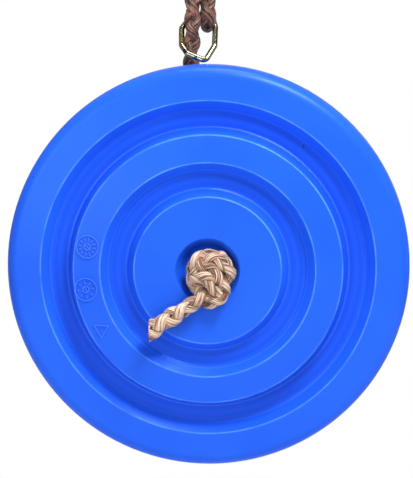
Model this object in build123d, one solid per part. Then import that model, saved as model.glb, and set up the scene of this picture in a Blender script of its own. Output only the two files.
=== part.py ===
"""Disc swing seat on one braided rope, hung from a screw hook. Millimetres, +Z up.

The origin is the hook's shank where it enters the beam. The seat hangs on edge: its rope leaves
the hole in the middle of the sitting face, lies up the seat's back and passes behind the top rim.
"""

import os
from math import cos, pi, radians, sin, tan

from build123d import *

# --- driving dimensions -----------------------------------------------------------------------
SEAT_DIAMETER = 280.0
SEAT_WALL = 3.0
SEAT_LEAN = 9.5  # degrees that the seat's top leans towards the front, from upright
ROPE_DIAMETER = 10.0
DROP = 320.0  # from the beam down to the seat's centre
SEAT_X = 3.5  # the seat's centre, to the right of the hook
SEAT_Y = 6.5  # and behind it, so that the seat's weight hangs under the hook

BEND_RADIUS = 12.0  # the rope's centreline, where it turns up the seat's back
KNEE_UP = 138.0  # height up the seat's back where the rope may bend at the rim
KNEE_GAP = 1.8

SHANK_RADIUS = 4.0
SHANK_LENGTH = 36.0
COLLAR_RADIUS = 10.0
COLLAR_THICKNESS = 3.0
COLLAR_ROUNDING = 0.8
SHANK_POINT = 2.5
HOOK_BAR = 7.0
HOOK_RADIUS = 13.0
HOOK_NECK = 9.0  # from the beam down to the bar's first bend
HOOK_SHOULDER = 17.0
HOOK_NECK_BEND = 5.0
HOOK_SHOULDER_BEND = 6.0
HOOK_TIP = 24.0
HOOK_BOTTOM = 42.0  # from the beam down to the middle of the hook's lowest bar

RING_BAR = 5.0
RING_RADIUS = 17.0
FREE_GAP = 0.3  # between pieces that turn on each other

LINK_BAR = 4.0
LINK_TILT = 27.0  # degrees that the link's top leans back
LINK_X = -3.4
LINK_TOP_UP = 17.0  # height of the link's top bar over its middle
LINK_LOW = -18.2  # height of the link's lowest corner, from its middle
LINK_TOP_Y = 8.6  # the middle of the link's top bar
LINK_UP = 159.2  # height of the link's middle over the seat's centre

# --- values that follow from them -------------------------------------------------------------
SEAT_RADIUS = SEAT_DIAMETER / 2
ROPE_RADIUS = ROPE_DIAMETER / 2
LEAN_SIN = sin(radians(SEAT_LEAN))
LEAN_COS = cos(radians(SEAT_LEAN))
RING_TOP_Z = -HOOK_BOTTOM + HOOK_BAR / 2 + RING_BAR / 2 + FREE_GAP
RING_Z = RING_TOP_Z - RING_RADIUS
RING_LOW_Z = RING_Z - RING_RADIUS
TURN_RADIUS = RING_BAR / 2 + ROPE_RADIUS + FREE_GAP
EYE_RADIUS = LINK_BAR / 2 + ROPE_RADIUS + FREE_GAP
LINK_Z = LINK_UP - DROP


def seat_frame():
    """The seat's own frame: x right, y up the seat, z out of its underside."""
    return Pos(SEAT_X, SEAT_Y, -DROP) * Rot(90 + SEAT_LEAN, 0, 0)


def on_seat(x, up, depth):
    """A point given in the seat's own frame, with x counted from the hook."""
    y = SEAT_Y - up * LEAN_SIN - depth * LEAN_COS
    return Vector(x, y, -DROP + up * LEAN_COS - depth * LEAN_SIN)


def corner_radii(points, share=0.45):
    """The largest radius that the runs beside each corner leave room for."""
    radii = []
    for before, corner, after in zip(points, points[1:], points[2:]):
        shorter = min((corner - before).length, (after - corner).length)
        turn = (corner - before).get_angle(after - corner)
        radii.append(share * shorter / tan(radians(turn) / 2))
    return radii


def rope_tube(name, points, radius=ROPE_RADIUS):
    """A round tube along straight runs joined by tangent arcs."""
    radii = corner_radii(points)
    path = FilletPolyline(*points, radius=radii)
    tube = sweep(Plane(origin=path @ 0, z_dir=path % 0) * Circle(radius), path=path)
    print(name, "length", round(path.length, 1), "radii", [round(r) for r in radii],
          "volume ratio", round(tube.volume / (path.length * pi * radius**2), 3))
    return tube


def straight_rope(start, end, radius=ROPE_RADIUS):
    """A straight run of rope from one point to another."""
    run = end - start
    rope = Cylinder(radius, run.length, align=(Align.CENTER, Align.CENTER, Align.MIN))
    return Plane(origin=start, z_dir=run) * rope


# --- the seat ---------------------------------------------------------------------------------
HOLE_RADIUS = 5.6
BOSS_BACK = -8.0  # depth of the sitting face at the hole
DISH_BACK = -9.0  # depth of the sitting face round it
RIM_BACK = -14.0  # depth of the rim's rolled edge behind
RIM_EDGE = 139.3
RIM_INNER_TOP = 116.0  # where the rim's back turns down into the dish
RIM_INNER_FOOT = 106.0
BOSS_FOOT = 26.0  # the raised boss round the hole, on the sitting face
BOSS_TOP = 22.0
RECESS_DEPTH = 21.0
UNDERSIDE = [  # radius, depth and rounding of each corner of the stepped underside
    (RIM_EDGE, 17.2, 9.0),
    (115.6, 20.2, 1.0),
    (108.6, 13.4, 2.0),
    (96.4, 13.4, 2.0),
    (93.0, 26.6, 1.1),
    (73.8, 30.6, 1.0),
    (67.0, 23.8, 2.0),
    (56.0, 23.8, 2.0),
    (50.8, 32.0, 1.1),
    (22.2, 32.6, 1.2),
    (15.8, RECESS_DEPTH, 3.5),
]
MIDDLE_STEP = UNDERSIDE[4:6]  # the outer and inner corner of the middle step
GRIP_RIBS = (40.0, 56.0, 72.0, 88.0)  # radii of the ribs on the sitting face
RIB_HALF_FOOT = 2.5
RIB_HALF_CREST = 1.3
RIB_HEIGHT = 1.2
RIB_ROUNDING = 0.6


def grip_rib(radius):
    """Corners of one low rib on the sitting face, from its outer foot to its inner one."""
    crest = DISH_BACK - RIB_HEIGHT
    return [
        (radius + RIB_HALF_FOOT, DISH_BACK, RIB_ROUNDING),
        (radius + RIB_HALF_CREST, crest, RIB_ROUNDING),
        (radius - RIB_HALF_CREST, crest, RIB_ROUNDING),
        (radius - RIB_HALF_FOOT, DISH_BACK, RIB_ROUNDING),
    ]


def seat_corners(rib_radii):
    """Radius, depth and rounding of each corner of half the seat's section."""
    corners = [(HOLE_RADIUS, RECESS_DEPTH, 1.5)]
    corners += reversed(UNDERSIDE)
    corners += [(SEAT_RADIUS, 0.0, 2.0), (RIM_EDGE, RIM_BACK, 8.0)]
    corners += [(RIM_INNER_TOP, RIM_BACK, 6.0), (RIM_INNER_FOOT, DISH_BACK, 4.0)]
    for radius in reversed(rib_radii):
        corners += grip_rib(radius)
    corners += [(BOSS_FOOT, DISH_BACK, 1.0), (BOSS_TOP, BOSS_BACK, 1.0)]
    corners += [(HOLE_RADIUS, BOSS_BACK, 2.0)]
    return corners


def seat_section():
    """Half of the seat's outer section, with its rounded corners."""
    corners = seat_corners(GRIP_RIBS)
    points = [Vector(radius, 0, depth) for radius, depth, _ in corners]
    return make_face(FilletPolyline(*points, radius=[r for _, _, r in corners], close=True))


def cavity_section():
    """The closed hollow that the moulding leaves inside, one wall inside the outer section."""
    points = [(radius, depth) for radius, depth, _ in seat_corners(())]
    outer = make_face(Polyline(*points, close=True))
    return Plane.XZ * offset(outer, amount=-SEAT_WALL, kind=Kind.INTERSECTION)


# The marks moulded on the middle step: where each is, across and up the seat.
CLOCK_PLACES = [(-82.3, 16.3), (-83.6, -13.3)]
CLOCK_TICKS = (12, 8)
CLOCK_POINTERS = (60, 20)  # degrees
CLOCK_RADIUS = 8.2
CLOCK_HUB = 2.6
TICK_PLACE = 5.2
TICK_LENGTH = 2.4
TRIANGLE_PLACE = (-73.2, -41.2)
TRIANGLE_RADIUS = 6.8
MARK_HEIGHT = 0.8
MARK_ROOT = 0.6  # how deep the marks' solids reach into the wall
MARK_LINE = 0.9


def underside_plane(x, up):
    """A plane on the sloping middle step of the underside, at a place in the seat's frame."""
    (outer_radius, outer_depth, _), (inner_radius, inner_depth, _) = MIDDLE_STEP
    radius = (x**2 + up**2) ** 0.5
    slope = (inner_depth - outer_depth) / (outer_radius - inner_radius)
    depth = outer_depth + slope * (outer_radius - radius)
    outward = Vector(x, up, 0) / radius
    normal = (outward * slope + Vector(0, 0, 1)).normalized()
    across = Vector(-outward.Y, outward.X, 0)
    return Plane(origin=Vector(x, up, depth), x_dir=across, z_dir=normal)


def raised(plane, sketch):
    """A flat pattern standing just proud of the underside."""
    return extrude(plane.offset(-MARK_ROOT) * sketch, amount=MARK_HEIGHT + MARK_ROOT)


def date_clock(place, pointer, ticks):
    """A moulder's date clock without numbers: a ring with ticks and a pointer."""
    sketch = Circle(CLOCK_RADIUS) - Circle(CLOCK_RADIUS - MARK_LINE)
    sketch += Circle(CLOCK_HUB) - Circle(CLOCK_HUB - MARK_LINE)
    for i in range(ticks):
        sketch += Rot(0, 0, i * 360 / ticks) * Pos(TICK_PLACE, 0) * Rectangle(TICK_LENGTH, MARK_LINE)
    sketch += Rot(0, 0, pointer) * Rectangle(2 * CLOCK_HUB - MARK_LINE, MARK_LINE)
    return raised(underside_plane(*place), sketch)


def triangle_mark():
    """A plain triangle, left hollow."""
    outer = RegularPolygon(TRIANGLE_RADIUS, 3, rotation=90)
    inner = RegularPolygon(TRIANGLE_RADIUS - 2 * MARK_LINE, 3, rotation=90)
    return raised(underside_plane(*TRIANGLE_PLACE), outer - inner)


def seat_disc():
    """The hollow moulded disc with its stepped underside, in one piece."""
    disc = revolve(seat_section(), Axis.Z) - revolve(cavity_section(), Axis.Z)
    for place, pointer, ticks in zip(CLOCK_PLACES, CLOCK_POINTERS, CLOCK_TICKS):
        disc += date_clock(place, pointer, ticks)
    return seat_frame() * (disc + triangle_mark())


# --- the rope's end in the seat ---------------------------------------------------------------
KNOT_RADIUS = 16.5
KNOT_HALF_DEPTH = 10.5
KNOT_SEAT = RECESS_DEPTH + 0.6  # depth at which the knot bears on the recess floor
LOBE = (6.0, -16.5, 38.0)  # the knot's lower loop, in the seat's frame
LOBE_RADIUS = 5.4
TAIL = [(-2.0, -15.5, 38.0), (-11.0, -21.5, 38.5), (-24.0, -29.5, 39.5), (-40.0, -38.5, 40.0)]


def seat_knot():
    """The stopper knot: a plain rounded body on the hole's axis with the lower loop's lobe."""
    right_half = Pos(KNOT_RADIUS, 0) * Rectangle(2 * KNOT_RADIUS, 4 * KNOT_HALF_DEPTH)
    half = Ellipse(KNOT_RADIUS, KNOT_HALF_DEPTH) & right_half
    body = revolve(Plane.XZ * half, Axis.Z)
    body = Pos(0, 0, KNOT_SEAT + KNOT_HALF_DEPTH) * body
    return seat_frame() * (body + Pos(*LOBE) * Sphere(LOBE_RADIUS))


def rope_tail():
    """The cut end of the rope, out of the knot and down to the left."""
    points = [on_seat(SEAT_X + x, up, depth) for x, up, depth in TAIL]
    return rope_tube("rope_tail", points)


def rope_in_seat():
    """The rope inside the seat's hole, from the knot to the sitting face."""
    return straight_rope(on_seat(SEAT_X, 0, KNOT_SEAT), on_seat(SEAT_X, 0, BOSS_BACK))


def rope_bend():
    """The quarter turn by which the rope leaves the hole and lies up the seat's back."""
    profile = Pos(0, 0, BOSS_BACK) * Circle(ROPE_RADIUS)
    axis = Axis((0, BEND_RADIUS, BOSS_BACK), (1, 0, 0))
    return seat_frame() * revolve(profile, axis, revolution_arc=90)


# --- the rope above ---------------------------------------------------------------------------
ROPE_BACK = BOSS_BACK - BEND_RADIUS  # depth of the rope's centreline behind the seat
DROP_ROUTE = [(SEAT_X, BEND_RADIUS), (1.5, 60.0), (-5.4, 104.0), (-8.4, KNEE_UP - KNEE_GAP / 2)]
LEFT_LOW = [(-8.6, KNEE_UP + KNEE_GAP / 2), (-9.0, 147.0)]
LEFT_AT_LINK = Vector(-7.5, 0.2, LINK_Z + 2.0)
LEFT_OVER_LINK = Vector(-7.3, 0.0, LINK_Z + 22.0)
LEFT_TOP = Vector(-TURN_RADIUS, 0, RING_LOW_Z)
RIGHT_TOP = Vector(TURN_RADIUS, 0, RING_LOW_Z)
EYE_X = 2.8
LINK_TOP_Z = LINK_Z + LINK_TOP_UP
EYE_LEG_UP = 14.0  # straight legs of the eye above the link's top bar
EYE_FRONT = Vector(EYE_X, LINK_TOP_Y - EYE_RADIUS, LINK_TOP_Z + EYE_LEG_UP)
SPLICE = [
    Vector(EYE_X, LINK_TOP_Y + EYE_RADIUS - 0.6, LINK_TOP_Z + 20.0),
    Vector(EYE_X + 0.8, LINK_TOP_Y + 1.6, LINK_TOP_Z + 36.0),
    Vector(EYE_X + 1.6, LINK_TOP_Y - 3.6, LINK_TOP_Z + 50.0),
]


def rope_drop():
    """The rope up the seat's back, from the bend at the hole to the rim."""
    return rope_tube("rope_drop", [on_seat(x, up, ROPE_BACK) for x, up in DROP_ROUTE])


def rope_left_strand():
    """The rope from the rim, behind the link's lower bar, through it and up to the ring."""
    points = [on_seat(x, up, ROPE_BACK) for x, up in LEFT_LOW]
    points += [LEFT_AT_LINK, LEFT_OVER_LINK, LEFT_TOP]
    return rope_tube("rope_left_strand", points)


def rope_top_turn():
    """The half turn over the hanging ring's lower bar."""
    profile = Pos(-TURN_RADIUS, 0, RING_LOW_Z) * Circle(ROPE_RADIUS)
    return revolve(profile, Axis((0, 0, RING_LOW_Z), (0, 1, 0)), revolution_arc=180)


def rope_right_strand():
    """The rope back down from the hanging ring to its eye."""
    straight_end = RIGHT_TOP - Vector(0, 0, 16)
    return rope_tube("rope_right_strand", [RIGHT_TOP, straight_end, EYE_FRONT])


def rope_link_eye():
    """The eye round the link's top bar, its end spliced back into the rope above."""
    front_foot = Vector(EYE_X, LINK_TOP_Y - EYE_RADIUS, LINK_TOP_Z)
    back_foot = Vector(EYE_X, LINK_TOP_Y + EYE_RADIUS, LINK_TOP_Z)
    profile = Pos(*front_foot) * Circle(ROPE_RADIUS)
    turn = revolve(profile, Axis((EYE_X, LINK_TOP_Y, LINK_TOP_Z), (1, 0, 0)), revolution_arc=180)
    return straight_rope(EYE_FRONT, front_foot) + turn + rope_tube("eye_back", [back_foot] + SPLICE)


# --- metal pieces -----------------------------------------------------------------------------
LINK_OUTLINE = [  # x from the link's middle, height from it as seen from the front, rounding
    (0.5, LINK_TOP_UP, 5.0),
    (8.9, LINK_TOP_UP, 3.5),
    (11.7, 7.0, 4.0),
    (11.3, -7.0, 4.0),
    (5.0, LINK_LOW, 3.0),
    (-7.6, -12.6, 5.0),
    (-11.7, -6.6, 4.0),
    (-11.9, 6.2, 4.0),
    (-6.4, 13.8, 5.0),
]


def adjuster_link():
    """The bent steel link that grips the rope, its top leaning back."""
    stretch = 1 / cos(radians(LINK_TILT))
    points = [Vector(x, 0, z * stretch) for x, z, _ in LINK_OUTLINE]
    path = FilletPolyline(*points, radius=[r for _, _, r in LINK_OUTLINE], close=True)
    link = sweep(Plane(origin=path @ 0, z_dir=path % 0) * Circle(LINK_BAR / 2), path=path)
    middle_y = LINK_TOP_Y - LINK_TOP_UP * tan(radians(LINK_TILT))
    return Pos(LINK_X, middle_y, LINK_Z) * Rot(-LINK_TILT, 0, 0) * link


def hanging_ring():
    """The round steel ring that hangs edge-on in the hook."""
    return Pos(0, 0, RING_Z) * Rot(0, 90, 0) * Torus(RING_RADIUS, RING_BAR / 2)


def hook_bar():
    """The hook's bent bar: a short neck, a side step, and the bight that the ring hangs in."""
    points = [
        Vector(0, 0, 0),
        Vector(0, 0, -HOOK_NECK),
        Vector(HOOK_RADIUS, 0, -HOOK_SHOULDER),
        Vector(HOOK_RADIUS, 0, -HOOK_BOTTOM),
        Vector(-HOOK_RADIUS, 0, -HOOK_BOTTOM),
        Vector(-HOOK_RADIUS, 0, -HOOK_TIP),
    ]
    bight = HOOK_RADIUS * 0.99
    path = FilletPolyline(*points, radius=[HOOK_NECK_BEND, HOOK_SHOULDER_BEND, bight, bight])
    bar = sweep(Plane(origin=path @ 0, z_dir=path % 0) * Circle(HOOK_BAR / 2), path=path)
    return bar + Pos(*(path @ 1)) * Sphere(HOOK_BAR / 2)


def beam_hook():
    """The hook with its collar and the plain core of its screw shank."""
    down = (Align.CENTER, Align.CENTER, Align.MAX)
    up = (Align.CENTER, Align.CENTER, Align.MIN)
    collar = Cylinder(COLLAR_RADIUS, COLLAR_THICKNESS, align=down)
    shank = Cylinder(SHANK_RADIUS, SHANK_LENGTH, align=up)
    shank = chamfer(shank.edges().sort_by(Axis.Z)[-1], SHANK_POINT)
    return hook_bar() + fillet(collar.edges(), COLLAR_ROUNDING) + shank


NODES = {
    "beam_hook": beam_hook,
    "hanging_ring": hanging_ring,
    "rope_top_turn": rope_top_turn,
    "rope_left_strand": rope_left_strand,
    "rope_right_strand": rope_right_strand,
    "rope_link_eye": rope_link_eye,
    "adjuster_link": adjuster_link,
    "rope_drop": rope_drop,
    "rope_bend": rope_bend,
    "rope_in_seat": rope_in_seat,
    "seat_knot": seat_knot,
    "rope_tail": rope_tail,
    "seat_disc": seat_disc,
}


os.makedirs("parts", exist_ok=True)
for node, make in NODES.items():
    export_step(make(), os.path.join("parts", node + ".step"))
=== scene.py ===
"""Looks of the disc swing seat: plaited rope with its knot, moulded blue plastic, zinc-plated metal,
a pale studio floor and soft light. Everything is in metres, in the CAD model's frame."""

from math import cos, pi, radians, sin

import bmesh
import bpy
import numpy as np
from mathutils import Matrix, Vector


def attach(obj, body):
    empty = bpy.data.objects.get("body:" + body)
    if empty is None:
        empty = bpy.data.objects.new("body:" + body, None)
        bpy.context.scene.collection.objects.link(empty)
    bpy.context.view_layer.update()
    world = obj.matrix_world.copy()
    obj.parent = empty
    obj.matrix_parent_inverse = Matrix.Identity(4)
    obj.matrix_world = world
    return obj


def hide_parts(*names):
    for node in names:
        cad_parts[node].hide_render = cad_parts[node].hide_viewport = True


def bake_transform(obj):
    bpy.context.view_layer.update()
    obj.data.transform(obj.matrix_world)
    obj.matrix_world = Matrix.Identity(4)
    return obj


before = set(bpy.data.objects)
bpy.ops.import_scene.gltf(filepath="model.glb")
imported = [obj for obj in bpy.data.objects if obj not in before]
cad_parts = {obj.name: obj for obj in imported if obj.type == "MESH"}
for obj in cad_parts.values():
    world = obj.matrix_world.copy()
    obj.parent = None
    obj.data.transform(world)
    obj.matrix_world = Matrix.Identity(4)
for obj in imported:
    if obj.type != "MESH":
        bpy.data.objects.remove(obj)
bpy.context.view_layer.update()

MM = 0.001

# The seat hangs leaning, and its middle is the origin for everything tied to it.
SEAT_MIDDLE = Vector((3.5, 6.5, -320)) * MM
SEAT_LEAN = radians(9.5)
SEAT_RADIUS = 140 * MM

# The rope: a round plait of four strands, two wound each way.
ROPE_DIAMETER = 10 * MM
PLAIT_PITCH = 31 * MM
STRAND_ORBIT = 3.0 * MM         # from the rope's centreline to a strand's
STRAND_WEAVE = 1.0 * MM         # how far a strand rises over and dips under the others
STRAND_WIDTH = 6.3 * MM
STRAND_THICKNESS = 3.6 * MM
CORE_RADIUS = 2.6 * MM          # a core painted dark as shade, seen only between the strands
YARNS = 9                       # ridges round one strand
YARN_RELIEF = 0.10              # their height, as a share of the strand's size
YARN_LAY = 2.2                  # pitches of the plait in which a strand's yarns turn once
LINE_STEP = 0.8 * MM            # rings of the rope's mesh are this far apart
STRAND_SIDES = 36               # points in a strand's ring
CORE_SIDES = 16                 # points in the core's ring
STRAND_DRIFT = 0.28 * MM        # how far a strand strays from its even place
FIRST_SEED = 20                 # every strand's drift has a seed near this
DRIFT_WAVES = 5                 # waves that add up to a strand's drift
SHORTEST_WAVE = 9 * MM
LONGEST_WAVE = 34 * MM
FLANK_SHADE = 0.26              # painted shade: how much darker a strand's flanks are than its crest


def on_seat(across, up, depth):
    """A point from its place across the seat, up it, and out of its underside."""
    return Vector((
        across,
        SEAT_MIDDLE.y - up * sin(SEAT_LEAN) - depth * cos(SEAT_LEAN),
        SEAT_MIDDLE.z + up * cos(SEAT_LEAN) - depth * sin(SEAT_LEAN),
    ))


# ---------------------------------------------------------------------------------------- camera

CAMERA_TARGET = Vector((2.0, 6.5, -302.1)) * MM
CAMERA_DISTANCE = 1.6
CAMERA_TURN = radians(1.5)
CAMERA_DROP = radians(2.5)      # it looks up by this much
CAMERA_LENS = 172.4             # focal length and sensor width, in millimetres
CAMERA_SENSOR = 36


def make_camera():
    """A long lens, a little below the seat and to its right."""
    data = bpy.data.cameras.new("camera")
    data.lens = CAMERA_LENS
    data.sensor_width = CAMERA_SENSOR
    camera = bpy.data.objects.new("camera", data)
    level = cos(CAMERA_DROP)
    away = Vector((sin(CAMERA_TURN) * level, -cos(CAMERA_TURN) * level, -sin(CAMERA_DROP)))
    camera.location = CAMERA_TARGET + away * CAMERA_DISTANCE
    camera.rotation_euler = (-away).to_track_quat("-Z", "Y").to_euler()
    bpy.context.scene.collection.objects.link(camera)
    bpy.context.scene.camera = camera


# ------------------------------------------------------------------------------------ rope lines

CURVE_STEPS = 24                # points that a spline is drawn with for each control point


def spline_line(points):
    """Evenly spaced points along the smooth NURBS spline that has these control points."""
    curve = bpy.data.curves.new("line", "CURVE")
    curve.dimensions = "3D"
    curve.resolution_u = CURVE_STEPS
    spline = curve.splines.new("NURBS")
    spline.points.add(len(points) - 1)
    for control, place in zip(spline.points, points):
        control.co = (*place, 1)
    spline.order_u = 3
    spline.use_endpoint_u = True
    holder = bpy.data.objects.new("line", curve)
    mesh = bpy.data.meshes.new_from_object(holder)
    places = np.array([v.co for v in mesh.vertices])
    bpy.data.objects.remove(holder)
    bpy.data.curves.remove(curve)
    bpy.data.meshes.remove(mesh)
    return evenly_spaced(places)


def evenly_spaced(places):
    """The same line with its points LINE_STEP apart."""
    travelled = np.concatenate([[0], np.cumsum(np.linalg.norm(np.diff(places, axis=0), axis=1))])
    stops = np.linspace(0, travelled[-1], round(travelled[-1] / LINE_STEP) + 1)
    return np.stack([np.interp(stops, travelled, places[:, i]) for i in range(3)], axis=1)


SEAT_ROUTE = [                  # mm across the seat, up it, and out of its underside
    # out of the knot and through the seat
    (3.5, 0, 16), (3.5, 0, 7),
    # the bend behind it
    (3.5, 0, -3), (3.5, 0, -13), (3.5, 7, -20), (3.5, 17, -20),
    # up the back and past the rim
    (1.5, 60, -20), (-5.4, 104, -20), (-8.5, 136, -20), (-9, 147, -20),
]
LOOP_ROUTE = [                  # mm to the right, backward and up from where the hook enters the beam
    # through the link and up
    (-7.5, 0.2, -158.8), (-7.3, 0, -138.8), (-7.8, 0, -96),
    # over the ring
    (-7.8, 0, -72.9), (-7.8, 0, -66.5), (-3.2, 0, -61.9),
    (3.2, 0, -61.9), (7.8, 0, -66.5), (7.8, 0, -72.9),
    # back down
    (7.8, 0, -85.7), (4.6, 0.8, -112),
    # round the link's top bar
    (2.8, 1.3, -140.8), (2.8, 1.3, -146.8), (2.8, 5.6, -151.1),
    (2.8, 11.6, -151.1), (2.8, 15.9, -146.8), (2.8, 15.9, -140.8),
    # spliced into itself
    (2.8, 15.3, -123.8), (3.6, 10.2, -107.8), (4.4, 5, -93.8),
]


def main_rope_points():
    """The route of the main rope: from the knot through the seat, up through the link, over the ring,
    down and round the link's top bar, and into its own splice."""
    behind_seat = [on_seat(across * MM, up * MM, depth * MM) for across, up, depth in SEAT_ROUTE]
    return behind_seat + [Vector(place) * MM for place in LOOP_ROUTE]


KNOT_POINTS = [                 # mm across, up and out from the middle of the seat's hole
    # out of the hole, and over to the right
    (0, 0, 10), (0, 0, 18), (6, -6, 23), (13, -8, 27),
    # the loop on the right, then hidden behind the knot
    (15, -2, 32.5), (12.5, 5, 36), (6, 9, 37), (0, 8.5, 35.5),
    (-6, 5, 31), (-9, -3, 27), (-3, -10, 24), (7, -10, 23), (14, 0, 25),
    # the loop over the top and down the left, then hidden inside
    (10, 7.5, 29), (4.5, 10.5, 33), (-3, 10.5, 34.5), (-8.8, 6, 34.5), (-10.3, -2, 34),
    (-9, -9.5, 33), (-5, -14, 30), (2, -12, 27), (3, 0, 29), (-4, 6, 33),
    # slanting down the front and round the bottom, then hidden
    (-2.5, 4, 37.5), (4, 0, 40), (9.5, -7, 40), (11, -14, 39), (8.5, -19.5, 37.6),
    (2.5, -20.8, 37.4), (-2, -19, 36.5), (-6, -13, 32), (-9, -6, 35),
    # the turn at the front, tucked under and out to the tail
    (-7, -2, 38.5), (0, -4.5, 42), (6, -10, 41.5), (8, -15.5, 38.5), (7, -17.5, 34.5),
    (2, -15.5, 35), (-4, -17.8, 39),
]
TAIL_POINTS = [(-11, -22.3, 40), (-24, -30.6, 40), (-42, -41.8, 40)]


def knot_points():
    """The route of the rope's end through the knot and out along the tail."""
    route = KNOT_POINTS + TAIL_POINTS
    return [on_seat(SEAT_MIDDLE.x + across * MM, up * MM, depth * MM) for across, up, depth in route]


# ---------------------------------------------------------------------------------- plaited rope

def carried_frames(line, first_normal):
    """Two unit vectors square to the line at each point, carried along it without twisting."""
    along = np.gradient(line, axis=0)
    along /= np.linalg.norm(along, axis=1)[:, None]
    normal = np.empty_like(line)
    carried = np.array(first_normal, float)
    for i, direction in enumerate(along):
        carried = carried - direction * carried.dot(direction)
        carried /= np.linalg.norm(carried)
        normal[i] = carried
    return normal, np.cross(along, normal)


def wander(distance, seed, size):
    """A smooth seeded drift along the rope, mostly within the given size."""
    chance = np.random.default_rng(seed)
    waves = chance.uniform(SHORTEST_WAVE, LONGEST_WAVE, DRIFT_WAVES)
    starts = chance.uniform(0, 2 * pi, DRIFT_WAVES)
    total = sum(np.sin(2 * pi * distance / wave + start) for wave, start in zip(waves, starts))
    return size * total / 2


def strand_centre(line, normal, side, distance, hand, number, slenderness):
    """The centreline of one strand, and the direction away from the rope's middle. Its hand is the way
    it winds: 1 or -1."""
    seed = FIRST_SEED + 10 * number + hand
    turn = 2 * pi * distance / PLAIT_PITCH
    angle = hand * turn + number * pi + wander(distance, seed, STRAND_DRIFT / STRAND_ORBIT)
    weave = hand * np.cos(2 * turn)
    drift = wander(distance, seed + 1, STRAND_DRIFT)
    orbit = (STRAND_ORBIT + STRAND_WEAVE * weave + drift) * slenderness
    outward = np.cos(angle)[:, None] * normal + np.sin(angle)[:, None] * side
    return line + outward * orbit[:, None], outward


def strand_skin(centre, outward, distance, slenderness, hand):
    """Rings of points round a strand, with a ridge for each of its yarns."""
    along = np.gradient(centre, axis=0)
    along /= np.linalg.norm(along, axis=1)[:, None]
    across = np.cross(along, outward)
    across /= np.linalg.norm(across, axis=1)[:, None]
    rise = np.cross(across, along)
    around = np.linspace(0, 2 * pi, STRAND_SIDES, endpoint=False)[None, :]
    lay = hand * 2 * pi * distance[:, None] / (PLAIT_PITCH * YARN_LAY)
    ridge = 1 + YARN_RELIEF * np.abs(np.cos((around * YARNS + lay * YARNS) / 2))
    size = ridge * slenderness[:, None]
    x = np.cos(around) * size * STRAND_WIDTH / 2
    y = np.sin(around) * size * STRAND_THICKNESS / 2
    return centre[:, None] + x[..., None] * across[:, None] + y[..., None] * rise[:, None]


def no_parts():
    """The parts of a mesh that has nothing in it yet."""
    return {"points": [], "faces": [], "values": {}, "total": 0}


def add_tube(mesh_parts, rings, values):
    """Adds the points, faces and point values of one closed tube to the parts of a mesh."""
    count, sides = rings.shape[:2]
    first = mesh_parts["total"]
    index = first + np.arange(count * sides).reshape(count, sides)
    nearby = np.roll(index, -1, axis=1)
    quads = np.stack([index[:-1], nearby[:-1], nearby[1:], index[1:]], axis=-1).reshape(-1, 4)
    mesh_parts["points"].append(rings.reshape(-1, 3))
    mesh_parts["faces"] += quads.tolist() + [index[0, ::-1].tolist(), index[-1].tolist()]
    for name, value in values.items():
        mesh_parts["values"].setdefault(name, []).append(value.reshape(-1))
    mesh_parts["total"] += count * sides


def mesh_object(name, mesh_parts):
    """A smooth mesh object from gathered tubes, with their values as point attributes."""
    mesh = bpy.data.meshes.new(name)
    mesh.from_pydata(np.concatenate(mesh_parts["points"]).tolist(), [], mesh_parts["faces"])
    for value_name, chunks in mesh_parts["values"].items():
        attribute = mesh.attributes.new(value_name, "FLOAT", "POINT")
        attribute.data.foreach_set("value", np.concatenate(chunks).astype(np.float32))
    mesh.shade_smooth()
    made = bpy.data.objects.new(name, mesh)
    bpy.context.scene.collection.objects.link(made)
    return made


def add_core(mesh_parts, line, normal, side, distance, slenderness):
    """Adds the round core of a rope, painted dark as the shade between its strands."""
    around = np.linspace(0, 1, CORE_SIDES, endpoint=False)
    turned = 2 * pi * around[None, :, None]
    outward = np.cos(turned) * normal[:, None] + np.sin(turned) * side[:, None]
    rings = line[:, None] + outward * CORE_RADIUS * slenderness[:, None, None]
    values = {
        "crown": np.zeros(rings.shape[:2]),
        "around": np.broadcast_to(around, rings.shape[:2]),
        "along": np.broadcast_to(distance[:, None] / PLAIT_PITCH, rings.shape[:2]),
        "strand": np.zeros(rings.shape[:2]),
    }
    add_tube(mesh_parts, rings, values)


def strand_number(hand, number):
    """A different number for each of the four strands. The core has 0."""
    return 3.0 + hand * (1 + number)


def plait(name, line, slenderness, part=slice(None), first_distance=0.0):
    """A four-strand rope round the given part of a line, from some distance into its pitch."""
    distance = first_distance + np.arange(len(line)) * LINE_STEP
    normal, side = carried_frames(line, (1, 0, 0))
    mesh_parts = no_parts()
    add_core(mesh_parts, line[part], normal[part], side[part], distance[part], slenderness[part])
    around = np.linspace(0, 1, STRAND_SIDES, endpoint=False)
    # painted shade on each strand's flanks and underside, taken off its crown value
    flank = FLANK_SHADE * (1 - np.sin(2 * pi * around))
    for hand in (1, -1):
        for number in (0, 1):
            centre, outward = strand_centre(line, normal, side, distance, hand, number, slenderness)
            rings = strand_skin(centre, outward, distance, slenderness, hand)[part]
            height = np.linalg.norm(rings - line[part][:, None], axis=2)
            values = {
                "crown": height / (ROPE_DIAMETER / 2) - flank,
                "around": np.broadcast_to(around, height.shape),
                "along": np.broadcast_to(distance[part][:, None] / PLAIT_PITCH, height.shape),
                "strand": np.full(height.shape, strand_number(hand, number)),
            }
            add_tube(mesh_parts, rings, values)
    return mesh_object(name, mesh_parts)


SPLICE_LENGTH = 34 * MM
SPLICE_TIP = 0.45               # how slender the splice's end is, beside the rope
SPLICE_ROUNDING = 0.8           # below 1, the splice narrows most at its end
SPLIT_HEIGHT = -248 * MM        # where the lower rope piece hands over to the upper one


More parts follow.
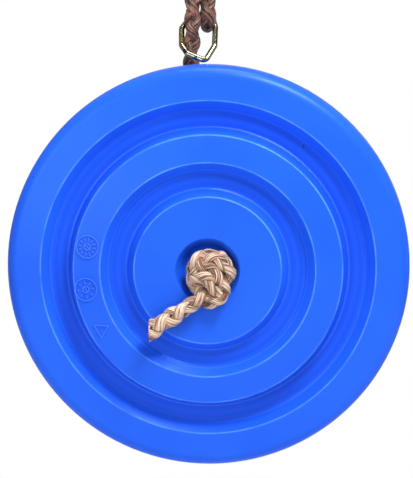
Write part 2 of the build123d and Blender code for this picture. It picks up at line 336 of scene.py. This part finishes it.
def make_main_rope(rope_material):
    """The main rope in two pieces, split at one height."""
    line = spline_line(main_rope_points())
    distance = np.arange(len(line)) * LINE_STEP
    left_to_run = distance[-1] - distance
    fullness = np.clip(left_to_run / SPLICE_LENGTH, 0, 1) ** SPLICE_ROUNDING
    slenderness = SPLICE_TIP + (1 - SPLICE_TIP) * fullness
    split = int(np.argmax(line[:, 2] > SPLIT_HEIGHT))
    lower = plait("rope_lower", line, slenderness, slice(0, split + 2))
    upper = plait("rope_upper", line, slenderness, slice(split, None))
    for piece in (lower, upper):
        piece.data.materials.append(rope_material)
    return lower, upper, line[:split + 2], line[split:]


KNOT_PHASE = 4 * MM             # how far into its pitch the plait starts in the knot
KNOT_FULLNESS = 0.95            # the rope is drawn tight in the knot, and loosens in the tail
TAIL_FULLNESS = 1.23
TAIL_START_ACROSS = -9 * MM     # where it starts to loosen, across from the hole
LOOSENING_LENGTH = 24 * MM
TAIL_CUT_ACROSS = -40 * MM      # the tail is cut off straight, this far from the hole


def make_knot(rope_material):
    """The knot under the seat and the short cut tail that comes out of it."""
    line = spline_line(knot_points())
    loosened = np.clip((SEAT_MIDDLE.x + TAIL_START_ACROSS - line[:, 0]) / LOOSENING_LENGTH, 0, 1)
    slenderness = KNOT_FULLNESS + (TAIL_FULLNESS - KNOT_FULLNESS) * loosened
    knot = plait("knot_and_tail", line, slenderness, first_distance=KNOT_PHASE)
    cut_straight(knot, Vector((SEAT_MIDDLE.x + TAIL_CUT_ACROSS, 0, 0)), Vector((-1, 0, 0)))
    knot.data.materials.append(rope_material)
    return knot


def cut_straight(piece, place, away):
    """Cuts a closed mesh off with a plane and closes it again."""
    mesh = bmesh.new()
    mesh.from_mesh(piece.data)
    everything = mesh.verts[:] + mesh.edges[:] + mesh.faces[:]
    cut = bmesh.ops.bisect_plane(mesh, geom=everything, plane_co=place, plane_no=away,
                                 clear_outer=True)
    rim = [item for item in cut["geom_cut"] if isinstance(item, bmesh.types.BMEdge)]
    bmesh.ops.holes_fill(mesh, edges=rim)
    mesh.to_mesh(piece.data)
    mesh.free()


# -------------------------------------------------------------------------------------- materials

MIX_INPUTS = (0, 6, 7)          # a Mix node's sockets for the share and for the two colours
MIX_OUTPUT = 2


def new_material(name):
    """An empty material, its nodes, and its shader."""
    made = bpy.data.materials.new(name)
    made.use_nodes = True
    return made, made.node_tree, made.node_tree.nodes["Principled BSDF"]


def add_node(tree, kind, inputs=None, **settings):
    """A shader node with its settings, its input values, and the sockets that feed it."""
    made = tree.nodes.new("ShaderNode" + kind)
    for name, value in settings.items():
        setattr(made, name, value)
    for name, value in (inputs or {}).items():
        if isinstance(value, bpy.types.NodeSocket):
            tree.links.new(value, made.inputs[name])
        else:
            made.inputs[name].default_value = value
    return made


def object_place(tree):
    """The place on the object, in metres."""
    return add_node(tree, "TexCoord").outputs["Object"]


def noise(tree, place, scale, detail=3.0, roughness=0.55, distortion=0.0):
    """Noise from 0 to 1 at a scale in features per metre."""
    inputs = {"Vector": place, "Scale": scale, "Detail": detail, "Roughness": roughness,
              "Distortion": distortion}
    return add_node(tree, "TexNoise", inputs).outputs["Fac"]


def ramp(tree, value, *stops):
    """A colour ramp through (position, colour) stops."""
    made = add_node(tree, "ValToRGB", {"Fac": value})
    elements = made.color_ramp.elements
    while len(elements) < len(stops):
        elements.new(0.5)
    for element, (position, colour) in zip(elements, stops):
        element.position = position
        element.color = (*colour, 1)
    return made.outputs["Color"]


def mapped(tree, value, low, high, from_low=0.0, from_high=1.0):
    """A value carried from one range to another, and kept inside it."""
    inputs = {"Value": value, "From Min": from_low, "From Max": from_high,
              "To Min": low, "To Max": high}
    return add_node(tree, "MapRange", inputs).outputs["Result"]


def mixed(tree, share, first, second, blend_type="MIX"):
    """Two colours mixed by a share, which is a socket or a number."""
    made = add_node(tree, "Mix", data_type="RGBA", blend_type=blend_type)
    for number, value in zip(MIX_INPUTS, (share, first, second)):
        socket = made.inputs[number]
        if isinstance(value, bpy.types.NodeSocket):
            tree.links.new(value, socket)
        elif socket.type == "RGBA":
            socket.default_value = (*value, 1)
        else:
            socket.default_value = value
    return made.outputs[MIX_OUTPUT]


def calculated(tree, operation, *values):
    """One math step on sockets and numbers."""
    made = add_node(tree, "Math", operation=operation)
    for socket, value in zip(made.inputs, values):
        if isinstance(value, bpy.types.NodeSocket):
            tree.links.new(value, socket)
        else:
            socket.default_value = value
    return made.outputs["Value"]


def bumped(tree, shader, *layers):
    """Bump layers of (height, distance in metres, strength), one on another, on a shader."""
    below = None
    for height, distance, strength in layers:
        inputs = {"Height": height, "Distance": distance, "Strength": strength}
        if below is not None:
            inputs["Normal"] = below
        below = add_node(tree, "Bump", inputs).outputs["Normal"]
    tree.links.new(below, shader.inputs["Normal"])


BLUE = (0.018, 0.131, 0.93)
BLUE_DEEP = (0.014, 0.112, 0.86)
BLUE_SCUFF = (0.050, 0.215, 0.98)
# painted highlight colour for the edges, the feet of the walls and the marks
BLUE_EDGE_HIGHLIGHT = (0.11, 0.33, 1.0)
# painted shade colour for the groove floors
BLUE_SHADE = (0.004, 0.062, 0.70)
BLUE_GLOSS = (0.45, 0.72, 1.0, 1)       # the tint of its highlights
SPECK = (0.01, 0.05, 0.28)

# Radii on the seat's underside, in millimetres.
STEP_EDGES = (50.6, 74.1, 92.7, 115.9)  # its sharp edges, which carry painted highlight lines
STEP_FEET = (59.0, 64.5, 99.5, 105.5)   # painted shade on the grooves' floor beside their walls
FOOT_LINES = (56.0, 68.6, 97.6, 109.4)  # the painted highlight lines at the feet of those walls
MIDDLE_STEP = ((93.0, 26.6), (73.8, 30.6))      # radius and depth of the middle step's two edges
EDGE_WIDTH = 0.8
FOOT_WIDTH = 6.0
MARK_RISE = (0.25, 0.7)         # how far from the step's face a mark's painted highlight starts and is full

GROOVE_SHADE = 0.75             # how much of the painted shade, or of the painted highlight colour, each of these takes
FOOT_LIGHT = 0.22
MARK_LIGHT = 0.26


def out_of_seat():
    """The direction along the seat's axis, out of its underside."""
    return on_seat(0, 0, 1) - on_seat(0, 0, 0)


def from_middle(tree, place):
    """The way to a place from the seat's middle."""
    inputs = {0: place, 1: SEAT_MIDDLE}
    return add_node(tree, "VectorMath", inputs, operation="SUBTRACT").outputs["Vector"]


def seat_radius(tree, place):
    """How far a place is from the seat's axis, in millimetres."""
    inputs = {0: from_middle(tree, place), 1: out_of_seat()}
    across = add_node(tree, "VectorMath", inputs, operation="CROSS_PRODUCT").outputs["Vector"]
    length = add_node(tree, "VectorMath", {0: across}, operation="LENGTH").outputs["Value"]
    return calculated(tree, "DIVIDE", length, MM)


def seat_depth(tree, place):
    """How far a place is out of the seat's underside, from its middle, in millimetres."""
    inputs = {0: from_middle(tree, place), 1: out_of_seat()}
    metres = add_node(tree, "VectorMath", inputs, operation="DOT_PRODUCT").outputs["Value"]
    return calculated(tree, "DIVIDE", metres, MM)


def near_rings(tree, radius, rings, width):
    """1 on any of some rings round the seat's axis, falling to 0 at a width to each side."""
    share = 0.0
    for ring in rings:
        apart = calculated(tree, "ABSOLUTE", calculated(tree, "SUBTRACT", radius, ring))
        share = calculated(tree, "MAXIMUM", share, mapped(tree, apart, 1, 0, 0, width))
    return share


def on_marks(tree, place, radius):
    """1 on the marks moulded on the middle step, which stand proud of its sloping face."""
    (outer_radius, outer_depth), (inner_radius, inner_depth) = MIDDLE_STEP
    face = mapped(tree, radius, outer_depth, inner_depth, outer_radius, inner_radius)
    rise = calculated(tree, "SUBTRACT", seat_depth(tree, place), face)
    proud = mapped(tree, rise, 0, 1, *MARK_RISE)
    outside = calculated(tree, "LESS_THAN", radius, outer_radius)
    inside = calculated(tree, "GREATER_THAN", radius, inner_radius)
    return calculated(tree, "MULTIPLY", proud, calculated(tree, "MULTIPLY", outside, inside))


def blue_colour(tree, place, patches):
    """Cloudy blue; painted shade in the grooves; painted highlights on edges and marks; scuffs; specks.
    """
    clouds = noise(tree, place, 14, detail=2)
    body = mixed(tree, mapped(tree, clouds, 0, 1, 0.35, 0.7), BLUE_DEEP, BLUE)
    radius = seat_radius(tree, place)
    # painted shade on the groove floors beside their walls
    floors = near_rings(tree, radius, STEP_FEET, FOOT_WIDTH)
    shaded = mixed(tree, calculated(tree, "MULTIPLY", floors, GROOVE_SHADE), body, BLUE_SHADE)
    # painted highlight lines on the sharp edges, broken into patches
    highlight_patches = mapped(tree, patches, 0.2, 0.9, 0.35, 0.6)
    edge_highlight = calculated(tree, "MULTIPLY", near_rings(tree, radius, STEP_EDGES, EDGE_WIDTH), highlight_patches)
    # painted highlight lines at the feet of the walls
    foot_lines = near_rings(tree, radius, FOOT_LINES, EDGE_WIDTH)
    feet = calculated(tree, "MULTIPLY", foot_lines, FOOT_LIGHT)
    # painted highlight on the raised marks
    marks = calculated(tree, "MULTIPLY", on_marks(tree, place, radius), MARK_LIGHT)
    lighter = calculated(tree, "MAXIMUM", edge_highlight, calculated(tree, "MAXIMUM", feet, marks))
    edged = mixed(tree, lighter, shaded, BLUE_EDGE_HIGHLIGHT)
    slanting = {"Vector": place, "Rotation": (0.3, 0.9, 0.4), "Scale": (1, 9, 1)}
    stretched = add_node(tree, "Mapping", slanting).outputs["Vector"]
    scratches = noise(tree, stretched, 260, detail=6, roughness=0.7)
    scuffed = mixed(tree, mapped(tree, scratches, 0, 0.5, 0.66, 0.78), edged, BLUE_SCUFF)
    dust = noise(tree, place, 210, detail=1)
    return mixed(tree, mapped(tree, dust, 0, 1, 0.80, 0.83), scuffed, SPECK)


def blue_plastic():
    """Blow-moulded polyethylene, with orange peel and slow waves in its walls."""
    made, tree, shader = new_material("blue_plastic")
    place = object_place(tree)
    patches = noise(tree, place, 45, detail=4)
    tree.links.new(blue_colour(tree, place, patches), shader.inputs["Base Color"])
    tree.links.new(mapped(tree, patches, 0.26, 0.38), shader.inputs["Roughness"])
    shader.inputs["Specular IOR Level"].default_value = 0.30
    shader.inputs["Specular Tint"].default_value = BLUE_GLOSS
    waves = noise(tree, place, 38, detail=1)
    peel = noise(tree, place, 620, detail=2)
    grain = noise(tree, place, 2600, detail=2)
    bumped(tree, shader, (waves, 0.9 * MM, 0.25), (peel, 0.06 * MM, 0.5), (grain, 0.02 * MM, 0.5))
    return made


# painted shade for the gaps between the strands and for the core
ROPE_GAP_SHADE = (0.016, 0.006, 0.004)
ROPE_TAN = (0.42, 0.20, 0.11)
# painted highlight for the strands' crowns
ROPE_PALE = (0.76, 0.49, 0.33)
ROPE_BROWN = (0.12, 0.045, 0.024)
ROPE_STREAK = (0.95, 0.77, 0.60)
ROPE_PINK = (0.55, 0.25, 0.17)
ROPE_OLIVE = (0.42, 0.30, 0.13)
# Painted shade: the rope above the seat is darkened, fading in between the two heights below.
PAINTED_SHADE_DARK = (0.13, 0.07, 0.07)     # what the rope above the seat keeps of its colour, between
PAINTED_SHADE_PALE = (0.46, 0.28, 0.24)     # its fibres and on them
UNSHADED_BELOW = -240 * MM
SHADED_ABOVE = -190 * MM
FIBRE_ROUND = 1.15              # radius of the noise's circle round a strand: larger means more fibres
FIBRE_APART = 7.3               # how far apart in the noise two strands are, so that none repeats
FIBRE_SCALE = 3.0


def point_value(tree, name):
    """A value kept at the points of the piece's mesh."""
    return add_node(tree, "Attribute", attribute_name=name).outputs["Fac"]


def fibre_place(tree):
    """A place that runs round and along a strand, and is different in each strand."""
    turned = calculated(tree, "MULTIPLY", point_value(tree, "around"), 2 * pi)
    apart = calculated(tree, "MULTIPLY", point_value(tree, "strand"), FIBRE_APART)
    return add_node(tree, "CombineXYZ", {
        "X": calculated(tree, "MULTIPLY", calculated(tree, "COSINE", turned), FIBRE_ROUND),
        "Y": calculated(tree, "MULTIPLY", calculated(tree, "SINE", turned), FIBRE_ROUND),
        "Z": calculated(tree, "ADD", point_value(tree, "along"), apart),
    }).outputs["Vector"]


def rope_yarn():
    """Tan split-film yarn with fibres along it, a painted highlight on its crowns and painted shade in
    the gaps. Above the seat it is darkened with painted shade."""
    made, tree, shader = new_material("rope_yarn")
    place = object_place(tree)
    fibres = noise(tree, fibre_place(tree), FIBRE_SCALE, detail=4, roughness=0.6)
    # painted highlight on the crowns, painted shade in the gaps, on the flanks and on the core
    raised = mapped(tree, point_value(tree, "crown"), 0, 1, 0.52, 1.12)
    body = ramp(tree, raised, (0, ROPE_GAP_SHADE), (0.45, ROPE_TAN), (1, ROPE_PALE))
    patches = noise(tree, place, 170, detail=2)
    pinker = mixed(tree, mapped(tree, patches, 0, 0.55, 0.50, 0.66), body, ROPE_PINK)
    toned = mixed(tree, mapped(tree, patches, 0.5, 0, 0.34, 0.48), pinker, ROPE_OLIVE)
    streaked = mixed(tree, mapped(tree, fibres, 0, 0.95, 0.51, 0.60), toned, ROPE_STREAK)
    grooved = mixed(tree, mapped(tree, fibres, 0.95, 0, 0.41, 0.49), streaked, ROPE_BROWN)
    # painted shade darkening the rope above the seat
    height = add_node(tree, "SeparateXYZ", {"Vector": place}).outputs["Z"]
    painted_shade_share = mapped(tree, height, 0, 1, UNSHADED_BELOW, SHADED_ABOVE)
    kept = mixed(tree, mapped(tree, fibres, 0, 1, 0.42, 0.60), PAINTED_SHADE_DARK, PAINTED_SHADE_PALE)
    shaded_rope = mixed(tree, painted_shade_share, grooved, mixed(tree, 1.0, grooved, kept, blend_type="MULTIPLY"))
    tree.links.new(shaded_rope, shader.inputs["Base Color"])
    tree.links.new(mapped(tree, fibres, 0.30, 0.52), shader.inputs["Roughness"])
    shader.inputs["Sheen Weight"].default_value = 0.15
    bumped(tree, shader, (fibres, 1.1 * MM, 1.0))
    return made


CRYSTAL_DARK = (0.44, 0.46, 0.48)
CRYSTAL_PALE = (0.66, 0.68, 0.70)
FLOOR_GREY = (0.80, 0.80, 0.81)
FLOOR_PALE = (0.86, 0.86, 0.86)
GOLD = (0.36, 0.26, 0.10)
BROWN_FILM = (0.16, 0.07, 0.03)
BLUE_FILM = (0.05, 0.09, 0.20)
PALE_FILM = (0.46, 0.50, 0.38)


def yellow_zinc():
    """Yellow-passivated zinc: gold with blue, brown and pale films in soft clouds."""
    made, tree, shader = new_material("yellow_zinc")
    place = object_place(tree)
    films = noise(tree, place, 75, detail=2, distortion=0.8)
    colour = ramp(tree, films, (0.34, BLUE_FILM), (0.42, PALE_FILM), (0.50, GOLD),
                  (0.56, PALE_FILM), (0.61, BROWN_FILM), (0.68, BLUE_FILM))
    tree.links.new(colour, shader.inputs["Base Color"])
    shader.inputs["Metallic"].default_value = 1
    tree.links.new(mapped(tree, noise(tree, place, 420), 0.05, 0.14), shader.inputs["Roughness"])
    pits = noise(tree, place, 1900, detail=2)
    bumped(tree, shader, (pits, 0.04 * MM, 0.5))
    return made


def clear_zinc():
    """Bright zinc plating with its crystal mottle and slightly dull patches."""
    made, tree, shader = new_material("clear_zinc")
    place = object_place(tree)
    mottle = add_node(tree, "TexVoronoi", {"Vector": place, "Scale": 420}).outputs["Color"]
    shade = add_node(tree, "RGBToBW", {"Color": mottle}).outputs["Val"]
    colour = ramp(tree, shade, (0, CRYSTAL_DARK), (1, CRYSTAL_PALE))
    tree.links.new(colour, shader.inputs["Base Color"])
    shader.inputs["Metallic"].default_value = 1
    tree.links.new(mapped(tree, noise(tree, place, 300), 0.26, 0.45), shader.inputs["Roughness"])
    grain = noise(tree, place, 2400, detail=2)
    bumped(tree, shader, (grain, 0.03 * MM, 0.5))
    return made


def pale_floor():
    """Matt white-grey studio floor with a faint unevenness."""
    made, tree, shader = new_material("pale_floor")
    clouds = noise(tree, object_place(tree), 2.5, detail=4)
    colour = ramp(tree, clouds, (0.3, FLOOR_GREY), (0.7, FLOOR_PALE))
    tree.links.new(colour, shader.inputs["Base Color"])
    shader.inputs["Roughness"].default_value = 0.8
    return made


# --------------------------------------------------------------------------------- screw thread

SHANK_RADIUS = 4 * MM
SHANK_BOTTOM = 4 * MM
SHANK_TOP = 33 * MM
THREAD_PITCH = 3.2 * MM
THREAD_HEIGHT = 0.9 * MM
THREAD_HALF_WIDTH = 0.75 * MM   # at its root
CREST_HALF_WIDTH = 0.12 * MM
THREAD_SINK = 0.4 * MM          # its root lies this far under the shank's surface
TIP_LENGTH = 5 * MM             # where the thread draws in towards the screw's tip
TIP_DRAW = 1.6 * MM
THREAD_STEPS_PER_TURN = 48


def make_thread(metal):
    """The helical ridge of the wood-screw thread round the hook's shank."""
    turns = (SHANK_TOP - SHANK_BOTTOM) / THREAD_PITCH
    steps = round(turns * THREAD_STEPS_PER_TURN)
    share = np.linspace(0, 1, steps)
    angle = share * turns * 2 * pi
    height = SHANK_BOTTOM + share * (SHANK_TOP - SHANK_BOTTOM)
    fade = np.clip(np.minimum(share, 1 - share) * turns, 0, 1)
    taper = np.clip((SHANK_TOP - height) / TIP_LENGTH, 0, 1)
    root = SHANK_RADIUS - THREAD_SINK - TIP_DRAW * (1 - taper)
    crest = root + THREAD_SINK + THREAD_HEIGHT * fade
    outline = [
        (root, -THREAD_HALF_WIDTH), (crest, -CREST_HALF_WIDTH),
        (crest, CREST_HALF_WIDTH), (root, THREAD_HALF_WIDTH),
    ]
    rings = np.stack([
        np.stack([radius * np.cos(angle), radius * np.sin(angle), height + lift], axis=-1)
        for radius, lift in outline
    ], axis=1)
    mesh_parts = no_parts()
    add_tube(mesh_parts, rings, {})
    thread = mesh_object("hook_thread", mesh_parts)
    thread.data.materials.append(metal)
    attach(thread, "hook")


# ---------------------------------------------------------------------------- floor and lights

FLOOR_DROP = 0.22               # from the foot of the seat's rim down to the floor
FLOOR_RADIUS = 1.3
FLOOR_SIDES = 96


def make_floor():
    """A round pale floor, below the hanging seat."""
    height = SEAT_MIDDLE.z - FLOOR_DROP - SEAT_RADIUS
    bpy.ops.mesh.primitive_circle_add(
        vertices=FLOOR_SIDES, radius=FLOOR_RADIUS, fill_type="NGON", location=(0, 0, height))
    floor = bpy.context.object
    floor.name = "floor"
    floor.data.materials.append(pale_floor())


LIGHTS = (                      # name, place, width in metres and power in watts
    ("key", (0.62, -1.05, 0.95), 0.55, 30),     # the upper right
    ("top", (0.10, -0.25, 0.85), 0.40, 5),      # almost straight above
    ("fill", (-0.9, -1.5, -0.2), 0.90, 7),      # the left, in front
)


def add_area_light(name, place, size, power):
    """A square soft light that faces the seat."""
    data = bpy.data.lights.new(name, "AREA")
    data.size = size
    data.energy = power
    light = bpy.data.objects.new(name, data)
    light.location = place
    light.rotation_euler = (SEAT_MIDDLE - light.location).to_track_quat("-Z", "Y").to_euler()
    bpy.context.scene.collection.objects.link(light)


AMBIENT_DARK = 0.02             # the room's own light, beside the lamps, in its dark and bright places
AMBIENT_BRIGHT = 0.60
BACKDROP = 1.0                  # how white the room looks behind the object


def make_room():
    """A white room that looks brighter than it lights, with dark and bright places to mirror."""
    world = bpy.data.worlds.new("studio")
    world.use_nodes = True
    tree = world.node_tree
    direction = add_node(tree, "TexCoord").outputs["Generated"]
    patches = noise(tree, direction, 3.6, detail=2)
    lit = mapped(tree, patches, AMBIENT_DARK, AMBIENT_BRIGHT, 0.47, 0.53)
    seen = add_node(tree, "LightPath").outputs["Is Camera Ray"]
    shown = add_node(tree, "Mix", {"Factor": seen, "A": lit, "B": BACKDROP}).outputs["Result"]
    tree.links.new(shown, tree.nodes["Background"].inputs["Strength"])
    tree.nodes["Background"].inputs["Color"].default_value = (1, 1, 1, 1)
    bpy.context.scene.world = world
    bpy.context.scene.view_settings.view_transform = "Standard"


# ------------------------------------------------------------------------------------- the scene

def dress_frame():
    """Gives the CAD nodes that stay visible their materials."""
    steel = clear_zinc()
    looks = {
        "seat_disc": blue_plastic(),
        "adjuster_link": yellow_zinc(),
        "beam_hook": steel,
        "hanging_ring": steel,
    }
    for node, look in looks.items():
        for material_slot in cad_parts[node].material_slots:
            material_slot.material = look
    make_thread(steel)


def place_rope():
    """Makes the rope's pieces, attaches the knot to the rope's end, and hides the rope's CAD nodes."""
    yarn = rope_yarn()
    lower, upper, lower_line, upper_line = make_main_rope(yarn)
    knot = make_knot(yarn)
    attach(knot, "rope_end")
    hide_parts("seat_knot", "rope_tail")
    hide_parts("rope_in_seat", "rope_bend", "rope_drop")
    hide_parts("rope_left_strand", "rope_top_turn", "rope_right_strand", "rope_link_eye")
    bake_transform(lower)
    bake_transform(upper)


make_camera()
place_rope()
dress_frame()
make_floor()
make_room()
for light in LIGHTS:
    add_area_light(*light)
